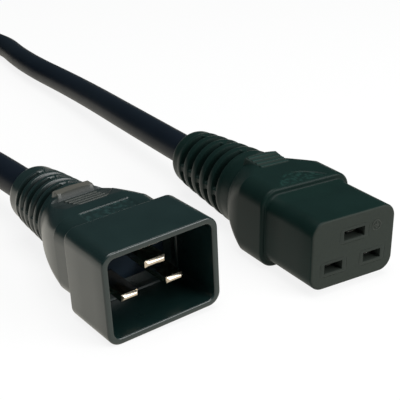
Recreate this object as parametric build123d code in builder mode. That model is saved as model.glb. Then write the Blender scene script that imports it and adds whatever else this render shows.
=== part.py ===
from build123d import *
import math
import os

# A heavy power cord: a shrouded plug with three flat blades on one end, the connector
# that such a plug's inlet takes on the other, and a round three-core cable between them.
# Millimetres, Z up. The connector lies level and faces +X. The origin is the middle of
# the flat underside of its rear block. Distances along each end are measured backwards
# from its mating face, and "across" and "up" are seen when facing it.

# Cable
cable_d = 9.8
core_d = 3.7
core_gap = 0.1
conductor_d = 2.3
core_bend = 4.0

# Poles, the same in both ends: two power blades below and the earth blade above
pole_spacing = 13.0
row_height = 4.0
power_blade_w = 5.0
earth_blade_w = 6.0
blade_t = 2.0

# Crimp barrel that holds each conductor
crimp_wall = 0.55
crimp_d = conductor_d + 2 * crimp_wall

# Fits
insert_fit = 0.05
contact_play = 0.1
chamber_play = 0.15
slot_play_w = 0.9
slot_play_h = 0.6
mating_play = 0.3
mouth_play = 0.9

# Connector, outside
front_w = 27.6
front_h = 19.4
front_l = 20.0
front_corner = 4.0
front_edge = 0.6
rear_w = 30.0
rear_h = 23.2
rear_l = 11.0
rear_corner = 5.0
rear_edge = 0.9
connector_taper_l = 10.5
connector_side_fullness = 0.62
connector_top_fullness = 0.3
label_depth = 0.3
label_half_w = 8.4
label_arch = 6.6
pad_start = 34.4
pad_l = 7.6
pad_w = 11.4
pad_front_w = 9.2
pad_bulge = 1.2
pad_rise = 0.6
pad_root = 4.0

# Connector, inside
insert_w = 23.6
insert_h = 14.2
insert_corner = 2.0
insert_l = 19.0
face_wall = 2.4
nozzle_margin_w = 1.4
nozzle_margin_h = 0.9
nozzle_corner = 0.8
slot_wall = 1.0
sheet_t = 0.5
sleeve_l = 12.0
sleeve_seam = 1.2
strip_w = 2.4
strip_l = 3.0
connector_crimp_l = 7.5

# Plug, outside
shroud_wall = 1.75
shroud_l = 18.0
shroud_corner = 3.5
shroud_inner_corner = 2.0
shroud_rim = 0.5
shroud_heel = 0.8
seat_l = 2.0
body_inset = 1.55
body_drop = 1.85
waist_inset = 0.3
body_corner = 5.0
body_l = 8.0
plug_taper_l = 17.0
plug_side_fullness = 0.5
plug_top_fullness = 0.4
field_w = 14.6
field_l = 8.2
field_depth = 0.3
scoop_l = 10.4
scoop_depth = 2.0
bar_w = 11.0
bar_l = 3.5
bar_rise = 0.15
bar_root = 3.0

# Plug, inside
carrier_l = 6.0
power_tip = 5.0
earth_tip = 2.9
tip_taper = 0.7
blade_root = 1.0
plug_crimp_l = 6.0

# Inner mouldings over the crimps and cores
mould_corner = 2.0
mould_neck_d = 12.0
mould_neck_corner = 5.8
core_straight = 3.0
jacket_grip = 3.0
connector_mould_l = 9.0
connector_core_run = 15.6
plug_mould_l = 5.5
plug_core_run = 9.5

# Strain reliefs: a sleeve with rings of slots
relief_overlap = 2.0
relief_edge = 3.0
neck_step = 0.1
neck_flat = 0.6
ring_count = 5
bridge_w = 2.4
connector_neck_d = 22.6
connector_neck_l = 4.5
connector_tail = 79.0
connector_tail_d = 17.2
connector_ring_first = 49.4
connector_ring_pitch = 5.2
connector_ring_w = 2.2
connector_ring_depth = 2.8
plug_neck_d = 19.8
plug_neck_l = 1.0
plug_tail = 68.0
plug_tail_d = 16.4
plug_ring_first = 46.2
plug_ring_pitch = 3.3
plug_ring_w = 1.5
plug_ring_depth = 2.1

# Place of the plug beside the connector: it is turned a little and leans on one corner
plug_behind = 8.13
plug_beside = 52.01
plug_turn = 3.94
plug_lean = 3.24

# Put-away coil of the cable, two turns wide and two high
coil_mean_r = 58.0
coil_middle = (-240.0, -77.0)
turn_gap = 0.3
coil_edge = 4.6

# Number of sections in a tapered body and share of a run that a bend may take
taper_steps = 4
bend_share = 0.45

# Sizes that follow from the ones above
shroud_inner_w = front_w + 2 * mouth_play
shroud_inner_h = front_h + 2 * mouth_play
shroud_w = shroud_inner_w + 2 * shroud_wall
shroud_h = shroud_inner_h + 2 * shroud_wall
recess_depth = shroud_l
body_w = shroud_w - 2 * body_inset
body_h = shroud_h - 2 * body_drop
blade_w = {"line": power_blade_w, "neutral": power_blade_w, "earth": earth_blade_w}
blade_tip = {"line": power_tip, "neutral": power_tip, "earth": earth_tip}
slot_h = blade_t + slot_play_h
sleeve_h = blade_t + 2 * (contact_play + sheet_t)
connector_taper = front_l + rear_l
connector_neck = connector_taper + connector_taper_l
plug_taper = shroud_l + body_l
plug_neck = plug_taper + plug_taper_l
sleeve_start = face_wall + slot_wall
sleeve_end = sleeve_start + sleeve_l
connector_crimp = sleeve_end + strip_l - sheet_t
connector_crimp_end = connector_crimp + connector_crimp_l
connector_mould_neck = connector_crimp_end + core_straight + connector_core_run
connector_jacket = connector_mould_neck + core_straight
plug_crimp = recess_depth + carrier_l + blade_root
plug_crimp_end = plug_crimp + plug_crimp_l
plug_mould_neck = plug_crimp_end + core_straight + plug_core_run
plug_jacket = plug_mould_neck + core_straight

lean = math.radians(plug_lean)
turn = math.radians(plug_turn)
plug_height = (
    (shroud_h / 2 - shroud_corner) * math.cos(lean)
    + (shroud_w / 2 - shroud_corner) * math.sin(lean)
    + shroud_corner
)

# Mating faces: each plane's Z points out of the face, X to the right and Y up
connector_frame = Plane(
    origin=(front_l + rear_l / 2, 0, rear_h / 2),
    x_dir=(0, 1, 0),
    z_dir=(1, 0, 0),
)
plug_frame = Plane(
    origin=(front_l + rear_l / 2 - plug_behind, -plug_beside, plug_height),
    x_dir=(-math.sin(turn) * math.cos(lean), math.cos(turn) * math.cos(lean), math.sin(lean)),
    z_dir=(math.cos(turn), math.sin(turn), 0),
)

os.makedirs("parts", exist_ok=True)


def poles(line_side):
    """Place of each pole, with the line to the right (1) or to the left (-1)."""
    half = pole_spacing / 2
    return {
        "line": (line_side * half, -row_height),
        "neutral": (-line_side * half, -row_height),
        "earth": (0, row_height),
    }


def bundled(line_side):
    """Place of each core where the three lie together inside the jacket."""
    ring = (core_d + core_gap) / math.sqrt(3)
    side = ring * math.cos(math.radians(30))
    drop = ring * math.sin(math.radians(30))
    return {"line": (line_side * side, -drop), "neutral": (-line_side * side, -drop), "earth": (0, ring)}


def axis_of(frame):
    """Line through the middle of a mating face, pointing out of it."""
    return Axis(frame.origin, frame.z_dir)


def seen_from_above(frame, height):
    """Plane level with the cord's top: X towards the mating face, Y to the right."""
    return Plane(frame.origin + frame.y_dir * height, x_dir=frame.z_dir, z_dir=frame.y_dir)


def seen_from_side(frame):
    """Plane along the middle of one end: X towards the mating face, Y up."""
    return Plane(frame.origin, x_dir=frame.z_dir, z_dir=-frame.x_dir)


def arc_share(share, fullness):
    """Share of its whole fall that an elliptical arc has made after a share of its run."""
    return (1 - math.sqrt(1 - (fullness * share) ** 2)) / (1 - math.sqrt(1 - fullness**2))


def rounded_bar(frame, width, height, corner, start, end, mode=Mode.ADD):
    """Add or cut a bar with rounded corners between two distances behind the face."""
    with BuildSketch(frame.offset(-end)) as section:
        RectangleRounded(width, height, corner)
    extrude(section.sketch, amount=end - start, mode=mode)


def tapered_body(frame, width, height, corner, start, length, side_fullness, top_fullness, neck_d):
    """Add the body's rear, whose sides and top fall away as arcs towards the strain relief."""
    neck = neck_d + 2 * neck_step
    neck_corner = neck / 2 - neck_flat
    sections = []
    for step in range(taper_steps + 1):
        share = step / taper_steps
        section_w = width + (neck - width) * arc_share(share, side_fullness)
        section_h = height + (neck - height) * arc_share(share, top_fullness)
        with BuildSketch(frame.offset(-start - length * share)) as section:
            RectangleRounded(section_w, section_h, corner + (neck_corner - corner) * share)
        sections.append(section.sketch)
    loft(sections)


def relief_sleeve(frame, start, neck_d, neck_end, tail_d, tail):
    """Add the strain relief: a turned sleeve, plain and then tapered to a rounded tail."""
    with BuildSketch(seen_from_above(frame, 0)) as profile:
        with BuildLine():
            Polyline(
                (-start, 0),
                (-start, neck_d / 2),
                (-neck_end, neck_d / 2),
                (-tail, tail_d / 2),
                (-tail, 0),
                close=True,
            )
        make_face()
        fillet(profile.vertices().group_by(Axis.X)[0].sort_by(Axis.Y)[-1], relief_edge)
    revolve(profile.sketch, axis=axis_of(frame))


def ring_slots(frame, neck_d, neck_end, tail_d, tail, first, pitch, width, depth):
    """Cut rings of slots; every ring is bridged at its sides, every other one above and below too."""
    for ring in range(ring_count):
        middle = first + ring * pitch
        share = max(middle - neck_end, 0) / (tail - neck_end)
        outer = (neck_d + (tail_d - neck_d) * share) / 2
        bridges = (0, 90) if ring % 2 == 0 else (0,)
        with BuildSketch(frame.offset(-middle - width / 2)) as slot:
            Circle(outer + depth)
            Circle(outer - depth, mode=Mode.SUBTRACT)
            for angle in bridges:
                Rectangle(3 * outer, bridge_w, rotation=angle, mode=Mode.SUBTRACT)
        extrude(slot.sketch, amount=width, mode=Mode.SUBTRACT)


def inner_mould(frame, start, shoulder, neck, end, grow=0.0, mode=Mode.ADD):
    """Add or cut the moulding that covers the crimps and narrows to a collar on the jacket."""
    with BuildSketch(frame.offset(-shoulder)) as block:
        RectangleRounded(insert_w + 2 * grow, insert_h + 2 * grow, mould_corner + grow)
    with BuildSketch(frame.offset(-neck)) as collar:
        RectangleRounded(mould_neck_d + 2 * grow, mould_neck_d + 2 * grow, mould_neck_corner + grow)
    extrude(block.sketch, amount=shoulder - start, mode=mode)
    loft([block.sketch, collar.sketch], mode=mode)
    extrude(collar.sketch, amount=-(end + grow - neck), mode=mode)


def cable_bore(frame, start, end, mode=Mode.SUBTRACT):
    """Cut the round hole that the jacket fills."""
    with BuildSketch(frame.offset(-end)) as bore:
        Circle(cable_d / 2)
    extrude(bore.sketch, amount=end - start, mode=mode)


def strand(frame, place, bundle_place, start, crimp_end, jacket, diameter):
    """Return one round strand that runs from its crimp into the bundle at the jacket."""
    corners = [
        (*place, -start),
        (*place, -crimp_end - core_straight),
        (*bundle_place, -jacket + core_straight),
        (*bundle_place, -jacket),
    ]
    points = [frame.from_local_coords(Vector(*corner)) for corner in corners]
    with BuildPart() as solid:
        with BuildLine() as path:
            FilletPolyline(*points, radius=[core_bend, core_bend])
        with BuildSketch(Plane(points[0], x_dir=frame.x_dir, z_dir=-frame.z_dir)):
            Circle(diameter / 2)
        sweep(path=path.line)
    return solid.part


def bend_radii(points):
    """Largest radius at each corner that its two runs allow."""
    radii = []
    for before, corner, after in zip(points, points[1:], points[2:]):
        run_in = corner - before
        run_out = after - corner
        half_turn = math.radians(run_in.get_angle(run_out)) / 2
        radii.append(bend_share * min(run_in.length, run_out.length) / math.tan(half_turn))
    return radii


def write_piece(part, name):
    """Label a finished piece and write its file."""
    part.label = name
    export_step(part, f"parts/{name}.step")


connector_poles = poles(1)
connector_bundle = bundled(1)
plug_poles = poles(-1)
plug_bundle = bundled(-1)

# Cable route. Each lead leaves its strain relief straight, and the rest of its points
# were chosen by hand. A lead ends inside the coil's outline, where the turns take over.
floor_z = cable_d / 2
connector_straight = 32.0
plug_straight = 24.0
connector_route = [
    connector_frame.from_local_coords(Vector(0, 0, -connector_jacket)),
    connector_frame.from_local_coords(Vector(0, 0, -connector_tail - connector_straight)),
    Vector(-150.0, 6.5, 7.4),
    Vector(-207.0, 5.5, 6.0),
    Vector(-250.0, 12.0, floor_z),
    Vector(-286.5, -5.0, floor_z),
    Vector(-307.5, -40.0, floor_z),
    Vector(-303.2, -77.0, floor_z),
]
plug_route = [
    plug_frame.from_local_coords(Vector(0, 0, -plug_jacket)),
    plug_frame.from_local_coords(Vector(0, 0, -plug_tail - plug_straight)),
    Vector(-101.0, -62.5, 12.0),
    Vector(-130.0, -77.0, 6.5),
    Vector(-168.0, -108.0, floor_z),
    Vector(-208.0, -127.0, 13.0),
]

# Coil: the outline of the wound turns
coil_section = 2 * (cable_d + turn_gap)
with BuildPart() as cord_coil:
    with BuildSketch(Plane.XY) as coil_plan:
        with Locations(coil_middle):
            Circle(coil_mean_r + coil_section / 2)
            Circle(coil_mean_r - coil_section / 2, mode=Mode.SUBTRACT)
    extrude(amount=coil_section)
    fillet(cord_coil.edges(), coil_edge)
write_piece(cord_coil.part, "cord_coil")

# Leads from each end to the coil
for lead_name, route in (("connector_lead", connector_route), ("plug_lead", plug_route)):
    radii = bend_radii(route)
    with BuildPart() as lead:
        with BuildLine() as lead_path:
            FilletPolyline(*route, radius=radii)
        with BuildSketch(Plane(route[0], z_dir=route[1] - route[0])):
            Circle(cable_d / 2)
        sweep(path=lead_path.line)
        swept_volume = lead.part.volume
        add(cord_coil.part, mode=Mode.SUBTRACT)
    lead_length = lead_path.wire().length
    tube_volume = math.pi * (cable_d / 2) ** 2 * lead_length
    print(lead_name, "length", round(lead_length, 1), "radii", [round(r, 1) for r in radii])
    print(lead_name, "volume", round(swept_volume), "of section times length", round(tube_volume))
    write_piece(lead.part, lead_name)

# Connector: contacts, folded from sheet, with a sleeve for the blade and a crimp barrel
connector_metal = []
for pole, (across, up) in connector_poles.items():
    sleeve_w = blade_w[pole] + 2 * (contact_play + sheet_t)
    with BuildPart() as contact:
        with BuildSketch(connector_frame.offset(-sleeve_end)):
            with Locations((across, up)):
                Rectangle(sleeve_w, sleeve_h)
                Rectangle(sleeve_w - 2 * sheet_t, sleeve_h - 2 * sheet_t, mode=Mode.SUBTRACT)
            with Locations((across, up - sleeve_h / 2)):
                Rectangle(sleeve_seam, 3 * sheet_t, mode=Mode.SUBTRACT)
        extrude(amount=sleeve_l)
        with BuildSketch(connector_frame.offset(-connector_crimp - sheet_t)):
            with Locations((across, up + (sleeve_h - sheet_t) / 2)):
                Rectangle(strip_w, sheet_t)
        extrude(amount=strip_l + sheet_t)
        with BuildSketch(connector_frame.offset(-connector_crimp_end)):
            with Locations((across, up)):
                Circle(crimp_d / 2)
        extrude(amount=connector_crimp_l)
        with BuildSketch(connector_frame.offset(-connector_crimp_end)):
            with Locations((across, up)):
                Circle(conductor_d / 2)
        extrude(amount=connector_crimp_l, mode=Mode.SUBTRACT)
    connector_metal.append(contact.part)
    write_piece(contact.part, f"connector_contact_{pole}")

# Connector: the hard insert that holds the contacts, with a nozzle flush with the face
with BuildPart() as connector_insert:
    rounded_bar(connector_frame, insert_w, insert_h, insert_corner, face_wall, insert_l)
    for pole, (across, up) in connector_poles.items():
        slot_w = blade_w[pole] + slot_play_w
        chamber_w = blade_w[pole] + 2 * (contact_play + sheet_t + chamber_play)
        with BuildSketch(connector_frame.offset(-face_wall)):
            with Locations((across, up)):
                RectangleRounded(slot_w + 2 * nozzle_margin_w, slot_h + 2 * nozzle_margin_h, nozzle_corner)
        extrude(amount=face_wall)
        with BuildSketch(connector_frame):
            with Locations((across, up)):
                Rectangle(slot_w, slot_h)
        extrude(amount=-sleeve_start, mode=Mode.SUBTRACT)
        with BuildSketch(connector_frame.offset(-insert_l)):
            with Locations((across, up)):
                Rectangle(chamber_w, sleeve_h + 2 * chamber_play)
        extrude(amount=insert_l - sleeve_start, mode=Mode.SUBTRACT)
write_piece(connector_insert.part, "connector_insert")

# Plug: solid blades with tapered tips and a crimp barrel
plug_metal = []
for pole, (across, up) in plug_poles.items():
    with BuildPart() as blade:
        with BuildSketch(plug_frame.offset(-plug_crimp)):
            with Locations((across, up)):
                Rectangle(blade_w[pole], blade_t)
        extrude(amount=plug_crimp - blade_tip[pole])
        chamfer(blade.faces().sort_by(axis_of(plug_frame))[-1].edges(), tip_taper)
        with BuildSketch(plug_frame.offset(-plug_crimp_end)):
            with Locations((across, up)):
                Circle(crimp_d / 2)
        extrude(amount=plug_crimp_l)
        with BuildSketch(plug_frame.offset(-plug_crimp_end)):
            with Locations((across, up)):
                Circle(conductor_d / 2)
        extrude(amount=plug_crimp_l, mode=Mode.SUBTRACT)
    plug_metal.append(blade.part)
    write_piece(blade.part, f"plug_blade_{pole}")

# Plug: the hard carrier that the blades are moulded into
with BuildPart() as plug_carrier:
    rounded_bar(plug_frame, insert_w, insert_h, insert_corner, recess_depth, recess_depth + carrier_l)
    for blade_part in plug_metal:
        add(blade_part, mode=Mode.SUBTRACT)
write_piece(plug_carrier.part, "plug_carrier")

# Both ends: conductors and their insulation, from the crimps to the jacket
connector_strands = []
plug_strands = []
for end_name, frame, places, bundle, crimp, crimp_end, jacket, strands in (
    ("connector", connector_frame, connector_poles, connector_bundle,
     connector_crimp, connector_crimp_end, connector_jacket, connector_strands),
    ("plug", plug_frame, plug_poles, plug_bundle,
     plug_crimp, plug_crimp_end, plug_jacket, plug_strands),
):
    for pole in places:
        wire = strand(frame, places[pole], bundle[pole], crimp, crimp_end, jacket, conductor_d)
        whole_core = strand(frame, places[pole], bundle[pole], crimp_end, crimp_end, jacket, core_d)
        strands.extend([wire, whole_core])
        with BuildPart() as core:
            add(whole_core)
            add(wire, mode=Mode.SUBTRACT)
        write_piece(wire, f"{end_name}_wire_{pole}")
        write_piece(core.part, f"{end_name}_core_{pole}")

# Inner mouldings, filled round the metal, the cores and the end of the jacket
for end_name, frame, start, shoulder, neck, jacket, held in (
    ("connector", connector_frame, insert_l, insert_l + connector_mould_l,
     connector_mould_neck, connector_jacket, connector_metal + connector_strands),
    ("plug", plug_frame, recess_depth + carrier_l, recess_depth + carrier_l + plug_mould_l,
     plug_mould_neck, plug_jacket, plug_metal + plug_strands),
):
    with BuildPart() as mould:
        inner_mould(frame, start, shoulder, neck, jacket + jacket_grip)
        for piece in held:
            add(piece, mode=Mode.SUBTRACT)
        cable_bore(frame, jacket, jacket + jacket_grip)
    write_piece(mould.part, f"{end_name}_inner_mould")

# Connector: the outer housing with its thumb pad, label field and strain relief
connector_neck_end = connector_neck + connector_neck_l
with BuildPart() as connector_housing:
    rounded_bar(connector_frame, rear_w, rear_h, rear_corner, front_l, connector_taper)
    fillet(connector_housing.faces().sort_by(axis_of(connector_frame))[-1].edges(), rear_edge)
    rounded_bar(connector_frame, front_w, front_h, front_corner, 0, front_l + rear_edge)
    fillet(connector_housing.faces().sort_by(axis_of(connector_frame))[-1].edges(), front_edge)
    tapered_body(
        connector_frame, rear_w, rear_h, rear_corner, connector_taper, connector_taper_l,
        connector_side_fullness, connector_top_fullness, connector_neck_d,
    )
    relief_sleeve(
        connector_frame, connector_neck - relief_overlap, connector_neck_d,
        connector_neck_end, connector_tail_d, connector_tail,
    )
    ring_slots(
        connector_frame, connector_neck_d, connector_neck_end, connector_tail_d, connector_tail,
        connector_ring_first, connector_ring_pitch, connector_ring_w, connector_ring_depth,
    )
    with BuildSketch(seen_from_above(connector_frame, rear_h / 2 - pad_root)):
        with BuildLine():
            pad_end = pad_start + pad_l
            Polyline(
                (-pad_end, -pad_w / 2),
                (-pad_start, -pad_front_w / 2),
                (-pad_start, pad_front_w / 2),
                (-pad_end, pad_w / 2),
            )
            ThreePointArc((-pad_end, pad_w / 2), (-pad_end - pad_bulge, 0), (-pad_end, -pad_w / 2))
        make_face()
    extrude(amount=pad_root + pad_rise)
    with BuildSketch(seen_from_side(connector_frame)):
        with BuildLine():
            pad_top = rear_h / 2 + pad_rise
            Polyline(
                (-pad_start, rear_h / 2),
                (-pad_start, pad_top + pad_rise),
                (-pad_end, pad_top + pad_rise),
                (-pad_end, pad_top),
                close=True,
            )
        make_face()
    extrude(amount=pad_w / 2, both=True, mode=Mode.SUBTRACT)
    with BuildSketch(seen_from_above(connector_frame, rear_h / 2 - label_depth)):
        with BuildLine():
            label_front = front_l + rear_edge
            Line((-label_front, -label_half_w), (-label_front, label_half_w))
            ThreePointArc(
                (-label_front, label_half_w),
                (-label_front - label_arch, 0),
                (-label_front, -label_half_w),
            )
        make_face()
    extrude(amount=label_depth, mode=Mode.SUBTRACT)
    rounded_bar(
        connector_frame, insert_w + 2 * insert_fit, insert_h + 2 * insert_fit,
        insert_corner + insert_fit, face_wall, insert_l, Mode.SUBTRACT,
    )
    for pole, (across, up) in connector_poles.items():
        window_w = blade_w[pole] + slot_play_w + 2 * (nozzle_margin_w + insert_fit)
        window_h = slot_h + 2 * (nozzle_margin_h + insert_fit)
        with BuildSketch(connector_frame):
            with Locations((across, up)):
                RectangleRounded(window_w, window_h, nozzle_corner + insert_fit)
        extrude(amount=-face_wall, mode=Mode.SUBTRACT)
    inner_mould(
        connector_frame, insert_l, insert_l + connector_mould_l, connector_mould_neck,
        connector_jacket + jacket_grip, insert_fit, Mode.SUBTRACT,
    )
    cable_bore(connector_frame, connector_jacket, connector_tail)
write_piece(connector_housing.part, "connector_housing")

# Plug: the outer housing with its shroud, sunk label field, grip and strain relief
plug_neck_end = plug_neck + plug_neck_l
waist_w = body_w - 2 * waist_inset
bar_top = plug_neck_d / 2 + bar_rise
scoop_end = plug_neck_end - bar_l
scoop_start = scoop_end - scoop_l
with BuildPart() as plug_housing:
    rounded_bar(plug_frame, shroud_w, shroud_h, shroud_corner, 0, shroud_l)
    fillet(plug_housing.faces().sort_by(axis_of(plug_frame))[-1].edges(), shroud_rim)
    fillet(plug_housing.faces().sort_by(axis_of(plug_frame))[0].edges(), shroud_heel)
    with BuildSketch(plug_frame.offset(-plug_taper)):
        RectangleRounded(body_w, body_h, body_corner)
    with BuildSketch(plug_frame.offset(-shroud_l + shroud_heel)):
        RectangleRounded(waist_w, body_h, body_corner)
    loft()
    tapered_body(
        plug_frame, body_w, body_h, body_corner, plug_taper, plug_taper_l,
        plug_side_fullness, plug_top_fullness, plug_neck_d,
    )
    relief_sleeve(
        plug_frame, plug_neck - relief_overlap, plug_neck_d, plug_neck_end, plug_tail_d, plug_tail,
    )
    ring_slots(
        plug_frame, plug_neck_d, plug_neck_end, plug_tail_d, plug_tail,
        plug_ring_first, plug_ring_pitch, plug_ring_w, plug_ring_depth,
    )
    with BuildSketch(seen_from_side(plug_frame)):
        with BuildLine():
            Polyline(
                (-scoop_start, shroud_h / 2),
                (-scoop_start, body_h / 2),
                (-scoop_end, bar_top - scoop_depth),
                (-scoop_end, shroud_h / 2),
                close=True,
            )
        make_face()
    extrude(amount=body_w / 2, both=True, mode=Mode.SUBTRACT)
    with BuildSketch(seen_from_above(plug_frame, bar_top - bar_root)):
        with Locations((-scoop_end - bar_l / 2, 0)):
            Rectangle(bar_l, bar_w)
    extrude(amount=bar_root)
    with BuildSketch(seen_from_above(plug_frame, body_h / 2 - field_depth)):
        with Locations((-shroud_l - field_l / 2, 0)):
            Rectangle(field_l, field_w)
    extrude(amount=field_depth, mode=Mode.SUBTRACT)
    rounded_bar(
        plug_frame, shroud_inner_w, shroud_inner_h, shroud_inner_corner,
        0, recess_depth - seat_l, Mode.SUBTRACT,
    )
    rim_face = plug_housing.faces().sort_by(axis_of(plug_frame))[-1]
    fillet(rim_face.inner_wires()[0].edges(), shroud_rim)
    rounded_bar(
        plug_frame, front_w + 2 * mating_play, front_h + 2 * mating_play,
        front_corner + mating_play, recess_depth - seat_l, recess_depth, Mode.SUBTRACT,
    )
    rounded_bar(
        plug_frame, insert_w + 2 * insert_fit, insert_h + 2 * insert_fit,
        insert_corner + insert_fit, recess_depth, recess_depth + carrier_l, Mode.SUBTRACT,
    )
    inner_mould(
        plug_frame, recess_depth + carrier_l, recess_depth + carrier_l + plug_mould_l,
        plug_mould_neck, plug_jacket + jacket_grip, insert_fit, Mode.SUBTRACT,
    )
    cable_bore(plug_frame, plug_jacket, plug_tail)
write_piece(plug_housing.part, "plug_housing")
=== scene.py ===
import math

import bmesh
import bpy
from mathutils import Matrix, Vector


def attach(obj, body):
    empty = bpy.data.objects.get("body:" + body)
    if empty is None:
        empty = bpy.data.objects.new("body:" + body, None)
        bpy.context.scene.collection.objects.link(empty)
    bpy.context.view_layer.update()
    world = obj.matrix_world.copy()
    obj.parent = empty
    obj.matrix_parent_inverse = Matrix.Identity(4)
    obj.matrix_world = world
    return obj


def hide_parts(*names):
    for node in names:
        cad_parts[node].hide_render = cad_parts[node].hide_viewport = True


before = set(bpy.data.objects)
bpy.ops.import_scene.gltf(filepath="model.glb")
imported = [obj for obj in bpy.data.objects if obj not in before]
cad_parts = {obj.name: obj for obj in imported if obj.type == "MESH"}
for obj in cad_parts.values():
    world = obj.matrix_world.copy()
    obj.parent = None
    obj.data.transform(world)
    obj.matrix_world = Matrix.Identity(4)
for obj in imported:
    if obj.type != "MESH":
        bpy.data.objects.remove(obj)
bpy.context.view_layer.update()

bl_info = {
    "name": "Power Cord",
    "version": (1, 0, 0),
    "blender": (4, 5, 0),
    "location": "3D Viewport > Sidebar > Power Cord",
    "description": "Dresses a heavy power cord: housings, blades, contacts, cable and stage",
    "category": "Object",
}

# Lengths below are in millimetres unless a name or comment says metres. Along each end,
# "back" is the distance behind its mating face, "across" is to the right and "up" is up.
MM = 0.001

# Cable: the leads' points, and the put-away coil between them
CABLE_D = 9.8
FLOOR_Z = CABLE_D / 2
CONNECTOR_ROUTE = [
    (-21.5, 0.0, 11.6),
    (-85.5, 0.0, 11.6),
    (-150.0, 6.5, 7.4),
    (-207.0, 5.5, 6.0),
    (-250.0, 12.0, FLOOR_Z),
    (-286.5, -5.0, FLOOR_Z),
    (-307.5, -40.0, FLOOR_Z),
]
PLUG_ROUTE = [
    (-168.0, -108.0, FLOOR_Z),
    (-130.0, -77.0, 6.5),
    (-101.0, -62.5, 12.0),
    (-74.41, -58.33, 13.07),
    (-29.02, -55.21, 13.07),
]
COIL_MIDDLE = (-240.0, -77.0)
COIL_MEAN_R = 58.0
TURN_GAP = 0.3
COIL_START = 180.0
COIL_END = 300.0
WHOLE_TURNS = 3
POINTS_A_TURN = 18

# Outlines of both ends: half widths, half heights and corner radii
FRONT = (13.8, 9.7, 4.0)
REAR = (15.0, 11.6, 5.0)
SHROUD = (16.45, 12.35, 3.5)
RECESS = (14.7, 10.6, 2.0)
SEAT = (14.1, 10.0, 4.3)
WAIST = (14.6, 10.5, 5.0)
BODY = (14.9, 10.5, 5.0)
INSERT = (11.85, 7.15, 2.05)
COLLAR = (6.05, 6.05, 5.85)
BORE_R = CABLE_D / 2 + 0.05

# Depths along the connector: front block, straight rear block, taper and cavities
FRONT_L = 20.0
REAR_END = 31.0
CONNECTOR_TAPER_L = 10.5
FACE_PLATE = 2.4
INSERT_END = 28.0
CONNECTOR_MOULD_NECK = 44.0
CONNECTOR_JACKET_STOP = 50.05

# Depths along the plug: shroud, body, taper and cavities
SHROUD_L = 18.0
BODY_END = 26.0
PLUG_TAPER_L = 17.0
SEAT_START = 16.0
CARRIER_END = 29.5
PLUG_MOULD_NECK = 43.5
PLUG_JACKET_STOP = 49.55

# Upper sides: the connector's thumb pad and arched field, the plug's field, scoop and bar
PAD_START, PAD_END, PAD_BULGE, PAD_RISE = 34.4, 42.0, 1.2, 0.6
PAD_FRONT_HALF_W, PAD_REAR_HALF_W = 4.6, 5.7
ARCH_START, ARCH_L, ARCH_HALF_W = 20.9, 6.6, 8.4
FIELD_END, FIELD_HALF_W = 26.2, 7.3
FIELD_DEPTH = 0.3
SCOOP_START, SCOOP_L, SCOOP_DEPTH, SCOOP_HALF_W = 30.1, 10.4, 2.45, 3.2
BAR_START, BAR_END, BAR_HALF_W, BAR_TOP = 40.7, 43.9, 5.5, 10.05

# Windows in the connector's face: middle, across and up, and half width
WINDOWS = (((6.5, -4.0), 4.4), ((-6.5, -4.0), 4.4), ((0.0, 4.0), 4.9))
WINDOW_HALF_H = 2.25
WINDOW_CORNER = 0.85

# Camera, placed by a fit to both ends in the photograph
EYE = Vector((190.45, -151.48, 121.62))
LOOK_TURN = math.radians(147.67)
LOOK_DOWN = math.radians(23.68)
LENS_MM = 85.5
SENSOR_MM = 36.0

# Studio: reach of the floor in metres, and share of plain white in what is seen of it
FLOOR_REACH = 8.0
PAPER_GLOW = 0.86
LIT_POINT = (-0.02, -0.02, 0.01)
# Each soft box: direction, distance, width and depth in metres, and watts
SOFT_BOXES = {
    "over_box": ((0.08, -0.04, 1.0), 0.95, 0.7, 0.7, 8.0),
    "front_box": ((0.735, 0.49, 0.469), 0.8, 0.56, 0.46, 5.2),
}


class End:
    """Place of one end of the cord, and the shape of its strain relief."""

    def __init__(self, face, turn, lean, neck, neck_r, tail, tail_r, rings):
        self.face = Vector(face)
        self.out = Vector((math.cos(turn), math.sin(turn), 0))
        level = Vector((-math.sin(turn), math.cos(turn), 0))
        self.right = level * math.cos(lean) + Vector((0, 0, math.sin(lean)))
        self.upward = self.out.cross(self.right)
        self.neck, self.neck_r = neck, neck_r
        self.tail, self.tail_r = tail, tail_r
        self.first, self.pitch, self.slot_w, self.slot_depth = rings

    def point(self, back, across, up):
        """A point near this end, in metres."""
        return (self.face - self.out * back + self.right * across + self.upward * up) * MM

    def sleeve_r(self, back):
        """Radius of the plain sleeve."""
        share = max(back - self.neck, 0.0) / (self.tail - self.neck)
        return self.neck_r + (self.tail_r - self.neck_r) * share


CONNECTOR = End((25.5, 0.0, 11.6), 0.0, 0.0, 46.0, 11.3, 79.0, 8.6, (49.4, 5.2, 2.2, 2.8))
PLUG = End(
    (17.37, -52.01, 13.068), math.radians(3.94), math.radians(3.24),
    44.0, 9.9, 68.0, 8.2, (46.2, 3.3, 1.5, 2.1),
)
RING_COUNT = 5
BRIDGE_HALF_W = 1.2
BRIDGE_SOFT = 0.9
BRIDGE_GROOVE = 0.22
LOBE_RISE = 0.32

# Points round each housing
POINTS = 288


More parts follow.
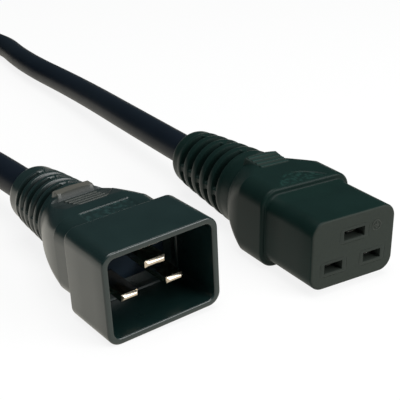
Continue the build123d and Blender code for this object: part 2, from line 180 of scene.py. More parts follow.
class Value:
    """A node's value, which takes part in ordinary arithmetic."""

    def __init__(self, tree, socket):
        self.tree = tree
        self.socket = socket

    def maths(self, operation, *terms):
        """Add a Math node for an operation on this tree's values and plain numbers."""
        node = self.tree.nodes.new("ShaderNodeMath")
        node.operation = operation
        for place, term in enumerate(terms):
            if isinstance(term, Value):
                self.tree.links.new(term.socket, node.inputs[place])
            else:
                node.inputs[place].default_value = term
        return Value(self.tree, node.outputs[0])

    def __add__(self, other):
        return self.maths("ADD", self, other)

    __radd__ = __add__

    def __sub__(self, other):
        return self.maths("SUBTRACT", self, other)

    def __rsub__(self, other):
        return self.maths("SUBTRACT", other, self)

    def __mul__(self, other):
        return self.maths("MULTIPLY", self, other)

    __rmul__ = __mul__

    def __pow__(self, other):
        return self.maths("POWER", self, other)

    def __abs__(self):
        return self.maths("ABSOLUTE", self)

    def at_least(self, other):
        """The larger of this value and another."""
        return self.maths("MAXIMUM", self, other)

    def limited(self):
        """The value kept between 0 and 1."""
        return self.maths("MINIMUM", self.at_least(0.0), 1.0)


class Graph:
    """A node tree, to which each call adds a node with its settings and links."""

    def __init__(self, tree):
        self.tree = tree
        self.tree.nodes.clear()

    def node(self, kind, settings=None, **sockets):
        """Add a node: its type, then its settings, then the values or links of its sockets."""
        node = self.tree.nodes.new(kind)
        for name, value in (settings or {}).items():
            setattr(node, name, value)
        for name, value in sockets.items():
            self.feed(node, name.replace("_", " "), value)
        return Outputs(self.tree, node)

    def feed(self, node, key, value):
        """Set or link one socket, named or numbered."""
        if isinstance(value, Value):
            self.tree.links.new(value.socket, node.inputs[key])
        else:
            node.inputs[key].default_value = value

    def blend(self, share, first, second):
        """Mix two colours."""
        mix = self.node("ShaderNodeMix", {"data_type": "RGBA"})
        self.feed(mix.node, 0, share)
        self.feed(mix.node, 6, first)
        self.feed(mix.node, 7, second)
        return Value(self.tree, mix.node.outputs[2])


class Recipe(Graph):
    """A material with one surface shader."""

    def __init__(self, name):
        self.material = bpy.data.materials.new(name)
        self.material.use_nodes = True
        super().__init__(self.material.node_tree)
        shader = self.node("ShaderNodeBsdfPrincipled")
        self.shader = shader.node
        self.node("ShaderNodeOutputMaterial", None, Surface=shader["BSDF"])
        self.place = self.node("ShaderNodeTexCoord")["Object"]

    def surface(self, **sockets):
        """Set or link the shader's sockets."""
        for name, value in sockets.items():
            self.feed(self.shader, name.replace("_", " "), value)
        return self.material

    def noise(self, scale, detail=2.0, roughness=0.5, place=None):
        """Noise from 0 to 1 over the object, with a scale in cells a metre."""
        return self.node(
            "ShaderNodeTexNoise", None,
            Vector=place or self.place, Scale=scale, Detail=detail, Roughness=roughness,
        )["Fac"]

    def area(self, name):
        """Share that the mesh says a point has in one of its areas."""
        return self.node("ShaderNodeAttribute", {"attribute_name": name})["Fac"]

    def bump(self, height, distance, strength=1.0):
        """Normal from a height in 0 to 1, with its depth in metres."""
        return self.node(
            "ShaderNodeBump", None, Height=height, Distance=distance, Strength=strength
        )["Normal"]


class Outputs:
    """A node's outputs by name."""

    def __init__(self, tree, node):
        self.tree = tree
        self.node = node

    def __getitem__(self, name):
        return Value(self.tree, self.node.outputs[name])


def moulded_vinyl(name, colour, roughness, grain_depth, gloss=0.5):
    """Soft overmoulded vinyl: even fine grain, faint clouding and slightly uneven sheen."""
    recipe = Recipe(name)
    clouds = recipe.noise(110.0, 4.0)
    grain = recipe.noise(4200.0, 2.0, 0.6)
    return recipe.surface(
        Base_Color=recipe.blend(clouds, lighter(colour, 0.75), lighter(colour, 1.25)),
        Roughness=clouds * 0.12 + grain * 0.08 + (roughness - 0.1),
        Normal=recipe.bump(grain, grain_depth, 0.6),
        Specular_IOR_Level=gloss,
    )


def housing_vinyl(name, colour, rest_highlight_colour, roughness, grain_depth, gloss, face=None):
    """Housing vinyl: stippled label field, thumb rest with a painted highlight, slots and scoop with
    painted shade and a duller finish, and maybe a matt face.
    """
    recipe = Recipe(name)
    clouds = recipe.noise(110.0, 4.0)
    grain = recipe.noise(4200.0, 2.0, 0.6)
    stipple = recipe.noise(900.0, 2.0, 0.6)
    field, rest_highlight, dull_and_painted_shade = (recipe.area(area) for area in ("label_field", "thumb_rest_highlight", "dull_and_painted_shade"))
    dots = ((stipple - 0.47) * 7.0).limited() * field
    tone = recipe.blend(clouds, lighter(colour, 0.75), lighter(colour, 1.25))
    tone = recipe.blend(dots * 0.7, tone, lighter(colour, 2.6))
    # Painted highlight: the thumb rest takes a lighter tone of the vinyl where light falls on it.
    tone = recipe.blend(rest_highlight, tone, rest_highlight_colour)
    # Painted shade: the slots and the scoop are darkened, and they are also made rougher.
    tone = recipe.blend(dull_and_painted_shade * 0.8, tone, lighter(colour, 0.25))
    rough = clouds * 0.12 + grain * 0.08 + dull_and_painted_shade * 0.5 + dots * 0.1 + rest_highlight * 0.15 + (roughness - 0.1)
    if face:
        face_colour, face_at = face
        pits = recipe.noise(1500.0, 3.0, 0.7)
        along = recipe.node("ShaderNodeSeparateXYZ", None, Vector=recipe.place)["X"]
        share = ((along - (face_at - 0.35) * MM) * 4000.0).limited()
        matt = recipe.blend(pits, lighter(face_colour, 0.8), lighter(face_colour, 1.2))
        tone = recipe.blend(share, tone, matt)
        rough = rough + share * 0.18
    return recipe.surface(
        Base_Color=tone,
        Roughness=rough,
        Normal=recipe.bump(grain * 0.3 + dots * 0.7, grain_depth * 3.0, 0.6),
        Specular_IOR_Level=gloss,
    )


def hard_nylon(name, colour, roughness, gloss):
    """Hard moulded nylon: dull, with a finer and flatter grain."""
    recipe = Recipe(name)
    clouds = recipe.noise(220.0, 2.0)
    grain = recipe.noise(7500.0, 1.0)
    return recipe.surface(
        Base_Color=recipe.blend(clouds, colour, lighter(colour, 1.3)),
        Roughness=clouds * 0.1 + (roughness - 0.05),
        Normal=recipe.bump(grain, 0.00001, 0.4),
        Specular_IOR_Level=gloss,
    )


def plated_metal(name, colour, worn, roughness, along):
    """Plated brass with fine drawing marks along one direction and a few rubbed patches."""
    recipe = Recipe(name)
    stretched = recipe.node(
        "ShaderNodeMapping", {"vector_type": "POINT"}, Vector=recipe.place, Scale=along
    )["Vector"]
    lines = recipe.noise(5200.0, 2.0, 0.6, stretched)
    patches = recipe.noise(420.0, 3.0)
    return recipe.surface(
        Base_Color=recipe.blend(patches, colour, worn),
        Metallic=1.0,
        Roughness=lines * 0.1 + patches * 0.06 + (roughness - 0.08),
        Normal=recipe.bump(lines, 0.000006, 0.5),
    )


def cable_vinyl(name, colour):
    """Extruded jacket: satin, faintly wavy along its length."""
    recipe = Recipe(name)
    waves = recipe.noise(95.0, 3.0)
    grain = recipe.noise(3800.0, 2.0)
    return recipe.surface(
        Base_Color=recipe.blend(waves, colour, lighter(colour, 1.6)),
        Roughness=waves * 0.12 + grain * 0.05 + 0.34,
        Specular_IOR_Level=0.12,
        Normal=recipe.bump(waves * 0.8 + grain * 0.04, 0.00025, 0.6),
    )


def plain_finish(name, colour, roughness, metallic=0.0):
    """Finish of a piece that is hidden inside, with light clouding."""
    recipe = Recipe(name)
    clouds = recipe.noise(300.0, 2.0)
    return recipe.surface(
        Base_Color=recipe.blend(clouds, colour, lighter(colour, 0.8)),
        Roughness=clouds * 0.1 + roughness,
        Metallic=metallic,
    )


def lighter(colour, factor):
    """The same colour, scaled."""
    return (*[min(channel * factor, 1.0) for channel in colour[:3]], 1.0)


def new_object(name, data):
    """Add an object at the origin."""
    obj = bpy.data.objects.new(name, data)
    bpy.context.scene.collection.objects.link(obj)
    return obj


def finished(obj, slot_name, material, *nodes):
    """Give a piece its material and body, and hide the solids that it stands for. Its slot name is not
    used.
    """
    obj.data.materials.clear()
    obj.data.materials.append(material)
    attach(obj, "root")
    if nodes:
        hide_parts(*nodes)
    return obj


def softened_copy(node, name, edge):
    """Merged copy of a solid whose sharp edges are softened as tumbling leaves them."""
    shape = bmesh.new()
    shape.from_mesh(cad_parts[node].data)
    bmesh.ops.remove_doubles(shape, verts=shape.verts, dist=2e-6)
    bmesh.ops.dissolve_limit(
        shape, angle_limit=math.radians(0.6), verts=shape.verts, edges=shape.edges
    )
    for face in shape.faces:
        face.smooth = True
    mesh = bpy.data.meshes.new(name)
    shape.to_mesh(mesh)
    shape.free()
    obj = new_object(name, mesh)
    bevel = obj.modifiers.new("soft_edges", "BEVEL")
    bevel.width = edge * MM
    bevel.segments = 2
    bevel.limit_method = "ANGLE"
    bevel.angle_limit = math.radians(40)
    bevel.harden_normals = True
    return obj


def ease(share):
    """Smooth step from 0 to 1."""
    share = min(max(share, 0.0), 1.0)
    return share * share * (3 - 2 * share)


def inside(value, low, high, soft):
    """1 between two limits and 0 outside them, with soft edges."""
    return ease((value - low) / soft + 0.5) * ease((high - value) / soft + 0.5)


def reach(angle, half_w, half_h, corner):
    """Distance from the middle of a rounded rectangle to its outline at an angle."""
    run, rise = abs(math.cos(angle)), abs(math.sin(angle))
    distance = min(half_w / max(run, 1e-9), half_h / max(rise, 1e-9))
    side, top = half_w - corner, half_h - corner
    if distance * run > side and distance * rise > top:
        along = run * side + rise * top
        distance = along + math.sqrt(max(along**2 - side**2 - top**2 + corner**2, 0.0))
    return distance


def grown(outline, amount):
    """A rounded outline moved outwards by an amount."""
    half_w, half_h, corner = outline
    return (half_w + amount, half_h + amount, max(corner + amount, 0.1))


def between(first, second, share):
    """An outline part of the way between two others."""
    return tuple(a + (b - a) * share for a, b in zip(first, second))


def stretch(start, end, step):
    """Shares from 0 to 1, evenly spaced and about a step apart."""
    count = max(1, math.ceil(abs(end - start) / step))
    return [index / count for index in range(1, count + 1)]


def round_over(back, outline, radius, forwards, parts=4):
    """Stations of a rounded edge; forwards goes from a flat face to the side, else from side to face."""
    stations = []
    for part in range(parts + 1):
        turn = math.radians(90 * part / parts)
        if forwards:
            place, inset = radius * (1 - math.cos(turn)), radius * (1 - math.sin(turn))
        else:
            place, inset = radius * (math.sin(turn) - 1), radius * (1 - math.cos(turn))
        stations.append((back + place, grown(outline, -inset)))
    return stations


def arc_share(share, fullness):
    """Share of its whole fall that an elliptical arc has made after a share of its run."""
    return (1 - math.sqrt(1 - (fullness * share) ** 2)) / (1 - math.sqrt(1 - fullness**2))


def taper(end, outline, start, length, side_fullness, top_fullness):
    """Stations of the body's rear, from its full outline to the strain relief's neck."""
    neck = end.neck_r + 0.1
    stations = []
    for share in stretch(0, length, 0.25):
        half_w = outline[0] + (neck - outline[0]) * arc_share(share, side_fullness)
        half_h = outline[1] + (neck - outline[1]) * arc_share(share, top_fullness)
        corner = outline[2] + (neck - 0.4 - outline[2]) * math.sin(share * math.pi / 2)
        corner = min(corner, half_h - 0.05, half_w - 0.05)
        stations.append((start + length * share, (half_w, half_h, corner)))
    return stations


def relief(end, start, outline):
    """Stations of the strain relief: its neck, its tapered sleeve and its rounded tail."""
    round_r = 3.0
    stations = []
    for share in stretch(start, end.neck, 0.2):
        back = start + (end.neck - start) * share
        target = (end.neck_r, end.neck_r, end.neck_r)
        stations.append((back, between(outline, target, ease(share))))
    for share in stretch(end.neck, end.tail - round_r, 0.2):
        back = end.neck + (end.tail - round_r - end.neck) * share
        radius = end.sleeve_r(back)
        stations.append((back, (radius, radius, radius)))
    for part in range(1, 9):
        turn = math.radians(90 * part / 8)
        back = end.tail - round_r * (1 - math.sin(turn))
        radius = end.sleeve_r(back) - round_r * (1 - math.cos(turn))
        stations.append((back, (radius, radius, radius)))
    lip = BORE_R + 0.35
    for back, radius in ((end.tail, lip), (end.tail - 0.1, BORE_R + 0.1), (end.tail - 0.4, BORE_R)):
        stations.append((back, (radius, radius, radius)))
    return stations


def relief_dent(end, back, angle, radius):
    """How far the strain relief's surface lies under the plain sleeve: slots, less the lobes' bulge."""
    last = end.first + (RING_COUNT - 1) * end.pitch
    if not end.first - end.pitch < back < last + end.pitch:
        return 0.0
    ring = min(max(round((back - end.first) / end.pitch), 0), RING_COUNT - 1)
    middle = end.first + ring * end.pitch
    half = end.slot_w / 2
    soft = 0.26 * end.slot_w
    slot = inside(back, middle - half, middle + half, soft)
    arc_side = abs(radius * math.sin(angle))
    arc_top = abs(radius * math.cos(angle))
    gap = ease((arc_side - BRIDGE_HALF_W) / BRIDGE_SOFT + 0.5)
    if ring % 2 == 0:
        gap *= ease((arc_top - BRIDGE_HALF_W) / BRIDGE_SOFT + 0.5)
    wave = 0.5 - 0.5 * math.cos(2 * math.pi * (back - end.first) / end.pitch)
    fade = inside(back, end.first - end.pitch / 2, last + end.pitch / 2, end.pitch / 2)
    groove = BRIDGE_GROOVE * slot * (1 - gap)
    return end.slot_depth * slot * gap + groove - LOBE_RISE * wave * fade


def lifted(up, target, share):
    """Height of a point that a raised or sunk field moves towards its own height."""
    return up + (target - up) * share


def connector_top(back, across, up):
    """Height of the connector's upper side, and its shares in the label field, the pad, which gets a
    painted highlight, and a scoop, of which it has none.
    """
    if up <= 0:
        return up, 0.0, 0.0, 0.0
    share = min(max((back - PAD_START) / (PAD_END - PAD_START), 0.0), 1.0)
    pad_end = PAD_END + PAD_BULGE * (1 - (across / PAD_REAR_HALF_W) ** 2)
    half_w = PAD_FRONT_HALF_W + (PAD_REAR_HALF_W - PAD_FRONT_HALF_W) * share
    pad = inside(across, -half_w, half_w, 0.5) * inside(back, PAD_START - 0.2, pad_end, 0.6)
    up = lifted(up, max(up, REAR[1] + PAD_RISE * share), pad)
    arch_end = ARCH_START + ARCH_L * (1 - (across / ARCH_HALF_W) ** 2)
    field = 0.0
    if arch_end > ARCH_START + 0.6:
        side = ARCH_HALF_W - 0.2
        field = inside(back, ARCH_START + 0.1, arch_end, 0.35) * inside(across, -side, side, 0.5)
    return up - FIELD_DEPTH * field, field, pad, 0.0


def plug_top(back, across, up):
    """Height of the plug's upper side, and its shares in the label field, the bar, which gets a painted
    highlight, and the scoop, which gets painted shade.
    """
    if up <= 0:
        return up, 0.0, 0.0, 0.0
    field, scoop = 0.0, 0.0
    if back > SHROUD_L:
        along = inside(back, SHROUD_L - 1.0, FIELD_END, 0.25)
        field = inside(across, -FIELD_HALF_W, FIELD_HALF_W, 0.4) * along
    up -= FIELD_DEPTH * field
    if SCOOP_START - 1.1 < back < SCOOP_START + SCOOP_L + 0.1:
        floor = BODY[1] - SCOOP_DEPTH * (back - SCOOP_START) / SCOOP_L
        flank = max(abs(across) - SCOOP_HALF_W - 0.8 * (back - SCOOP_START), 0.0)
        ends = inside(back, SCOOP_START - 0.5, SCOOP_START + SCOOP_L + 0.5, 0.8)
        scoop = ends * ease((up - floor) / 0.2)
        up = min(up, floor + 0.5 * flank)
    bar = inside(across, -BAR_HALF_W, BAR_HALF_W, 0.4) * inside(back, BAR_START, BAR_END, 0.9)
    return lifted(up, max(up, BAR_TOP), bar), field, bar, scoop


def ring_of_points(shape, end, back, outline, middle=(0.0, 0.0), points=POINTS, phase=0.0):
    """Ring of vertices round an outline at one depth."""
    ring = []
    for index in range(points):
        angle = 2 * math.pi * (index + phase) / points
        distance = reach(angle, *outline)
        across, up = distance * math.cos(angle), distance * math.sin(angle)
        ring.append(shape.verts.new(end.point(back, middle[0] + across, middle[1] + up)))
    return ring


def join_rings(shape, rings):
    """Faces between each ring and the next one."""
    for first, second in zip(rings, rings[1:]):
        for index in range(len(first)):
            following = (index + 1) % len(first)
            shape.faces.new((first[index], first[following], second[following], second[index]))


def skin(end, stations, top):
    """Mesh of rings, one at each station, joined into a tube, with its areas as attributes."""
    shape = bmesh.new()
    # The thumb rest area carries a painted highlight, and the third area carries painted shade.
    layers = [shape.verts.layers.float.new(name) for name in ("label_field", "thumb_rest_highlight", "dull_and_painted_shade")]
    rings = []
    for back, outline in stations:
        ring = []
        outer = back > 0 and outline[0] > BORE_R + 0.4
        for index in range(POINTS):
            angle = 2 * math.pi * index / POINTS
            distance = reach(angle, *outline)
            areas = (0.0, 0.0, 0.0)
            if outer:
                dent = relief_dent(end, back, angle, distance)
                distance -= dent
            across, up = distance * math.cos(angle), distance * math.sin(angle)
            if outer:
                up, field, rest_highlight, scoop = top(back, across, up)
                # The third area is painted shade: all of each slot, and the scoop at half strength.
                areas = (field, rest_highlight, max(min(dent / end.slot_depth, 1.0), 0.5 * scoop, 0.0))
            vertex = shape.verts.new(end.point(back, across, up))
            for layer, area in zip(layers, areas):
                vertex[layer] = area
            ring.append(vertex)
        rings.append(ring)
    join_rings(shape, rings)
    return shape, rings


def closed_object(shape, name, sharp_degrees=58.0):
    """Finish a mesh: normals outwards, smooth faces and sharp edges kept."""
    bmesh.ops.recalc_face_normals(shape, faces=shape.faces)
    for face in shape.faces:
        face.smooth = True
    mesh = bpy.data.meshes.new(name)
    shape.to_mesh(mesh)
    shape.free()
    mesh.set_sharp_from_angle(angle=math.radians(sharp_degrees))
    return new_object(name, mesh)


def add_hole(shape, end, outline, middle, front, back):
    """Rings of a straight hole between two depths; returns its first and last ring."""
    rings = [ring_of_points(shape, end, depth, outline, middle, 40, 0.5) for depth in (front, back)]
    join_rings(shape, rings)
    return rings


def fill_face(shape, outline, holes):
    """Fill a flat face between an outline and the holes in it."""
    edges = []
    for ring in (outline, *holes):
        for first, second in zip(ring, ring[1:] + ring[:1]):
            edges.append(shape.edges.get((first, second)) or shape.edges.new((first, second)))
    bmesh.ops.triangle_fill(shape, edges=edges, use_beauty=True)


def connector_shell():
    """The connector's soft housing, with windows in its face for the insert's nozzles."""
    end = CONNECTOR
    stations = [(0.0, grown(FRONT, -0.9))]
    stations += round_over(0.0, FRONT, 0.6, True)
    stations += [(back, FRONT) for back in (6.0, 13.0, FRONT_L - 0.5)]
    stations += [(FRONT_L - 0.2, grown(FRONT, 0.1)), (FRONT_L - 0.05, grown(FRONT, 0.3))]
    stations += [(FRONT_L, between(FRONT, grown(REAR, -0.9), 0.7))]
    stations += round_over(FRONT_L, REAR, 0.9, True, 6)
    for start, stop, step in ((FRONT_L + 0.9, 28.0, 0.25), (28.0, REAR_END, 0.5)):
        for share in stretch(start, stop, step):
            stations.append((start + (stop - start) * share, REAR))
    stations += taper(end, REAR, REAR_END, CONNECTOR_TAPER_L, 0.62, 0.3)
    stations += relief(end, *stations[-1])
    shape, rings = skin(end, stations, connector_top)
    cavity = [
        (CONNECTOR_JACKET_STOP, (BORE_R, BORE_R, BORE_R)), (CONNECTOR_JACKET_STOP, COLLAR),
        (CONNECTOR_MOULD_NECK, COLLAR), (INSERT_END, INSERT), (FACE_PLATE, INSERT),
    ]
    inner_rings = [rings[-1]] + [ring_of_points(shape, end, back, outline) for back, outline in cavity]
    join_rings(shape, inner_rings)
    windows = [
        add_hole(shape, end, (half_w, WINDOW_HALF_H, WINDOW_CORNER), middle, 0.0, FACE_PLATE)
        for middle, half_w in WINDOWS
    ]
    fill_face(shape, rings[0], [window[0] for window in windows])
    fill_face(shape, inner_rings[-1], [window[1] for window in windows])
    return closed_object(shape, "connector_shell")


def plug_shell():
    """The plug's soft housing: shroud, recess, label field, scoop and strain relief in one skin."""
    end = PLUG
    stations = [(0.0, grown(SHROUD, -0.85))]
    stations += round_over(0.0, SHROUD, 0.5, True)
    stations += [(5.0, SHROUD), (11.0, SHROUD)]
    stations += round_over(SHROUD_L, SHROUD, 0.8, False, 5)
    waist = SHROUD_L + 0.25
    stations += [(SHROUD_L, grown(WAIST, 0.5)), (SHROUD_L + 0.05, grown(WAIST, 0.2)), (waist, WAIST)]
    for start, stop, step in ((waist, 25.8, 0.5), (25.8, 26.4, 0.1)):
        for share in stretch(start, stop, step):
            back = start + (stop - start) * share
            stations.append((back, between(WAIST, BODY, min((back - waist) / (BODY_END - waist), 1.0))))
    rear = taper(end, BODY, BODY_END, PLUG_TAPER_L, 0.5, 0.4)
    stations += [station for station in rear if station[0] > BODY_END + 0.45]
    stations += relief(end, *stations[-1])
    shape, rings = skin(end, stations, plug_top)
    rim_r = 0.5
    cavity = [
        (PLUG_JACKET_STOP, (BORE_R, BORE_R, BORE_R)), (PLUG_JACKET_STOP, COLLAR),
        (PLUG_MOULD_NECK, COLLAR), (CARRIER_END, INSERT), (SHROUD_L, INSERT),
        (SHROUD_L, grown(SEAT, -0.4)), (SHROUD_L, SEAT), (SEAT_START, SEAT),
        (SEAT_START, grown(RECESS, -0.3)), (SEAT_START - 0.1, RECESS), (8.0, RECESS), (rim_r, RECESS),
    ]
    for part in range(1, 5):
        turn = math.radians(90 * part / 4)
        cavity.append((rim_r * (1 - math.sin(turn)), grown(RECESS, rim_r * (1 - math.cos(turn)))))
    inner_rings = [ring_of_points(shape, end, back, outline) for back, outline in cavity]
    join_rings(shape, [rings[-1], *inner_rings, rings[0]])
    return closed_object(shape, "plug_shell")


def ridge_rows(name, count, length, width, height, start, step, turned, material):
    """Row of rounded ridges, made with Geometry Nodes and turned into a plain mesh."""
    tree = bpy.data.node_groups.new(name, "GeometryNodeTree")
    tree.interface.new_socket("Geometry", in_out="OUTPUT", socket_type="NodeSocketGeometry")
    inputs = {}
    for label, kind, value in (
        ("Count", "NodeSocketInt", count),
        ("Length", "NodeSocketFloat", length * MM),
        ("Width", "NodeSocketFloat", width * MM),
        ("Height", "NodeSocketFloat", height * MM),
        ("Step", "NodeSocketVector", step),
    ):
        socket = tree.interface.new_socket(label, in_out="INPUT", socket_type=kind)
        inputs[socket.identifier] = value
    graph = Graph(tree)
    size = graph.node("NodeGroupInput")
    near = graph.node("ShaderNodeCombineXYZ", None, X=size["Length"] * -0.5)["Vector"]
    far = graph.node("ShaderNodeCombineXYZ", None, X=size["Length"] * 0.5)["Vector"]
    line = graph.node("GeometryNodeCurvePrimitiveLine", None, Start=near, End=far)["Curve"]
    divided = graph.node("GeometryNodeResampleCurve", None, Curve=line, Count=25)["Curve"]
    # Both ends are rounded off: 0.05 is left there, so that no end has zero width
    along = graph.node("GeometryNodeSplineParameter")["Factor"]
    rounded = (1.0 - abs(along * 2.0 - 1.0) ** 10.0).limited() ** 0.5
    shaped = graph.node(
        "GeometryNodeSetCurveRadius", None, Curve=divided, Radius=rounded.at_least(0.05)
    )["Curve"]
    circle = graph.node("GeometryNodeCurvePrimitiveCircle", None, Resolution=16, Radius=1.0)["Curve"]
    tube = graph.node(
        "GeometryNodeCurveToMesh", None, Curve=shaped, Profile_Curve=circle, Fill_Caps=True
    )["Mesh"]
    section = graph.node("ShaderNodeCombineXYZ", None, X=1.0, Y=size["Width"], Z=size["Height"])["Vector"]
    ridge = graph.node("GeometryNodeTransform", None, Geometry=tube, Scale=section)["Geometry"]
    row = graph.node(
        "GeometryNodeMeshLine", {"mode": "OFFSET"}, Count=size["Count"], Offset=size["Step"]
    )["Mesh"]
    copies = graph.node("GeometryNodeInstanceOnPoints", None, Points=row, Instance=ridge)["Instances"]
    real = graph.node("GeometryNodeRealizeInstances", None, Geometry=copies)["Geometry"]
    smooth = graph.node("GeometryNodeSetShadeSmooth", None, Geometry=real)["Geometry"]
    painted = graph.node(
        "GeometryNodeSetMaterial", None, Geometry=smooth, Material=material
    )["Geometry"]
    graph.node("NodeGroupOutput", None, Geometry=painted)
    holder = new_object(name + "_maker", bpy.data.meshes.new(name + "_maker"))
    modifier = holder.modifiers.new("ridges", "NODES")
    modifier.node_group = tree
    for identifier, value in inputs.items():
        modifier[identifier] = value
    bpy.context.view_layer.update()
    evaluated = holder.evaluated_get(bpy.context.evaluated_depsgraph_get())
    made = bpy.data.meshes.new_from_object(evaluated)
    bpy.data.objects.remove(holder)
    made.transform(Matrix.Translation(start) @ turned)
    made.name = name
    return new_object(name, made)


class CordSizes(bpy.types.PropertyGroup):
    """Sizes of the visible pieces that a user may change."""

    cable_diameter: bpy.props.FloatProperty(
        name="Cable diameter", description="Outside diameter of the jacket",
        default=CABLE_D * MM, min=0.004, max=0.02, unit="LENGTH",
    )
    cable_length: bpy.props.FloatProperty(
        name="Cable length", description="Length of the jacket between both ends",
        default=1.75, min=0.5, max=5.0, unit="LENGTH",
    )
    ridge_count: bpy.props.IntProperty(
        name="Grip ridges", description="Number of ridges on each thumb grip", default=4, min=1, max=8,
    )


class CordColours(bpy.types.PropertyGroup):
    """Colours of the finishes."""

    housing: bpy.props.FloatVectorProperty(
        name="Housing", description="Colour of the moulded housings", subtype="COLOR",
        size=4, default=(0.005, 0.016, 0.0135, 1.0), min=0.0, max=1.0,
    )
    face: bpy.props.FloatVectorProperty(
        name="Mating face", description="Colour of the connector's matt face", subtype="COLOR",
        size=4, default=(0.025, 0.031, 0.026, 1.0), min=0.0, max=1.0,
    )
    jacket: bpy.props.FloatVectorProperty(
        name="Jacket", description="Colour of the cable's jacket", subtype="COLOR",
        size=4, default=(0.0035, 0.006, 0.0105, 1.0), min=0.0, max=1.0,
    )
    blade: bpy.props.FloatVectorProperty(
        name="Blade", description="Colour of the plated blades", subtype="COLOR",
        size=4, default=(0.58, 0.5, 0.4, 1.0), min=0.0, max=1.0,
    )


class CORD_OT_stage(bpy.types.Operator):
    """Add the floor, the soft studio lights and the camera"""

    bl_idname = "cord.stage"
    bl_label = "Stage"

    def execute(self, context):
        scene = context.scene
        camera = bpy.data.cameras.new("camera")
        camera.lens = LENS_MM
        camera.sensor_width = SENSOR_MM
        camera.clip_start = 0.01
        holder = new_object("camera", camera)
        look = Vector((
            math.cos(LOOK_TURN) * math.cos(LOOK_DOWN),
            math.sin(LOOK_TURN) * math.cos(LOOK_DOWN),
            -math.sin(LOOK_DOWN),
        ))
        holder.location = EYE * MM
        holder.rotation_euler = look.to_track_quat("-Z", "Y").to_euler()
        scene.camera = holder
        floor_mesh = bpy.data.meshes.new("floor")
        corners = [(x * FLOOR_REACH, y * FLOOR_REACH, 0) for x, y in ((-1, -1), (1, -1), (1, 1), (-1, 1))]
        floor_mesh.from_pydata(corners, [], [(0, 1, 2, 3)])
        floor = new_object("floor", floor_mesh)
        floor.data.materials.append(self.paper())
        self.add_lamps()
        world = bpy.data.worlds.new("studio")
        world.use_nodes = True
        graph = Graph(world.node_tree)
        air = graph.node("ShaderNodeBackground", None, Color=(0.7, 0.95, 1, 1), Strength=0.1)
        graph.node("ShaderNodeOutputWorld", None, Surface=air["Background"])
        scene.world = world
        scene.view_settings.view_transform = "Standard"
        return {"FINISHED"}

    def paper(self):
        """White paper: it keeps the object's shadow and shows white to the camera and in gloss."""
        material = bpy.data.materials.new("white_paper")
        material.use_nodes = True
        graph = Graph(material.node_tree)
        paper = graph.node("ShaderNodeBsdfDiffuse", None, Color=(0.92, 0.91, 0.9, 1))["BSDF"]
        ray = graph.node("ShaderNodeLightPath")
        tint = graph.blend(ray["Is Camera Ray"], (1, 0.965, 0.86, 1), (1, 1, 1, 1))
        glow = graph.node("ShaderNodeEmission", None, Color=tint, Strength=1.0)["Emission"]
        seen = ray["Is Camera Ray"] + ray["Is Glossy Ray"] + ray["Is Transmission Ray"]
        mix = graph.node("ShaderNodeMixShader", None, Fac=seen.limited() * PAPER_GLOW)
        graph.feed(mix.node, 1, paper)
        graph.feed(mix.node, 2, glow)
        graph.node("ShaderNodeOutputMaterial", None, Surface=mix["Shader"])
        return material

    def add_lamps(self):
        """Two soft boxes: one overhead, one in front and to the right."""
        target = Vector(LIT_POINT)
        for name, (toward, distance, width, depth, power) in SOFT_BOXES.items():
            place = target + Vector(toward).normalized() * distance
            lamp = bpy.data.lights.new(name, "AREA")
            lamp.shape = "RECTANGLE"
            lamp.size = width
            lamp.size_y = depth
            lamp.energy = power
            holder = new_object(name, lamp)
            holder.location = place
            holder.rotation_euler = (target - place).to_track_quat("-Z", "Y").to_euler()


def coil_points():
    """Turns of the coil: out, in, up on the inner side, and out again on top."""
    spacing = (CABLE_D + TURN_GAP) / 2
    turns = WHOLE_TURNS + (COIL_END - COIL_START) / 360
    count = round(turns * POINTS_A_TURN)
    # Control points stand outside the curve that they shape
    outward = 1 / math.cos(math.pi / POINTS_A_TURN)
    points = []
    for index in range(count + 1):
        turn = turns * index / count
        inward = ease((turn - 0.78) / 0.2) - ease((turn - 2.3) / 0.25)
        climb = ease((turn - 1.55) / 0.25)
        radius = (COIL_MEAN_R + spacing - 2 * spacing * inward) * outward
        angle = math.radians(COIL_START + 360 * turn)
        points.append((
            COIL_MIDDLE[0] + radius * math.cos(angle),
            COIL_MIDDLE[1] + radius * math.sin(angle),
            FLOOR_Z + TURN_GAP / 2 + 2 * spacing * climb,
        ))
    return points


class CORD_OT_cable(bpy.types.Operator):
    """Lay the cable from the connector through its coil to the plug"""

    bl_idname = "cord.cable"
    bl_label = "Cable"

    def execute(self, context):
        sizes = context.scene.cord_sizes
        points = CONNECTOR_ROUTE + coil_points() + PLUG_ROUTE
        curve = bpy.data.curves.new("cable", "CURVE")
        curve.dimensions = "3D"
        spline = curve.splines.new("NURBS")
        spline.points.add(len(points) - 1)
        for control, place in zip(spline.points, points):
            control.co = (*[value * MM for value in place], 1.0)
        spline.order_u = 3
        spline.use_endpoint_u = True
        spline.resolution_u = 8
        spline.use_smooth = True
        curve.bevel_depth = sizes.cable_diameter / 2
        curve.bevel_resolution = 8
        curve.use_fill_caps = True
        cable = new_object("cable", curve)
        jacket = cable_vinyl("cable_vinyl", tuple(context.scene.cord_colours.jacket))
        finished(cable, "cable_jacket", jacket, "connector_lead", "cord_coil", "plug_lead")
        tuple(CONNECTOR.point(CONNECTOR.tail - 5.0, 0, 0))
        return {"FINISHED"}


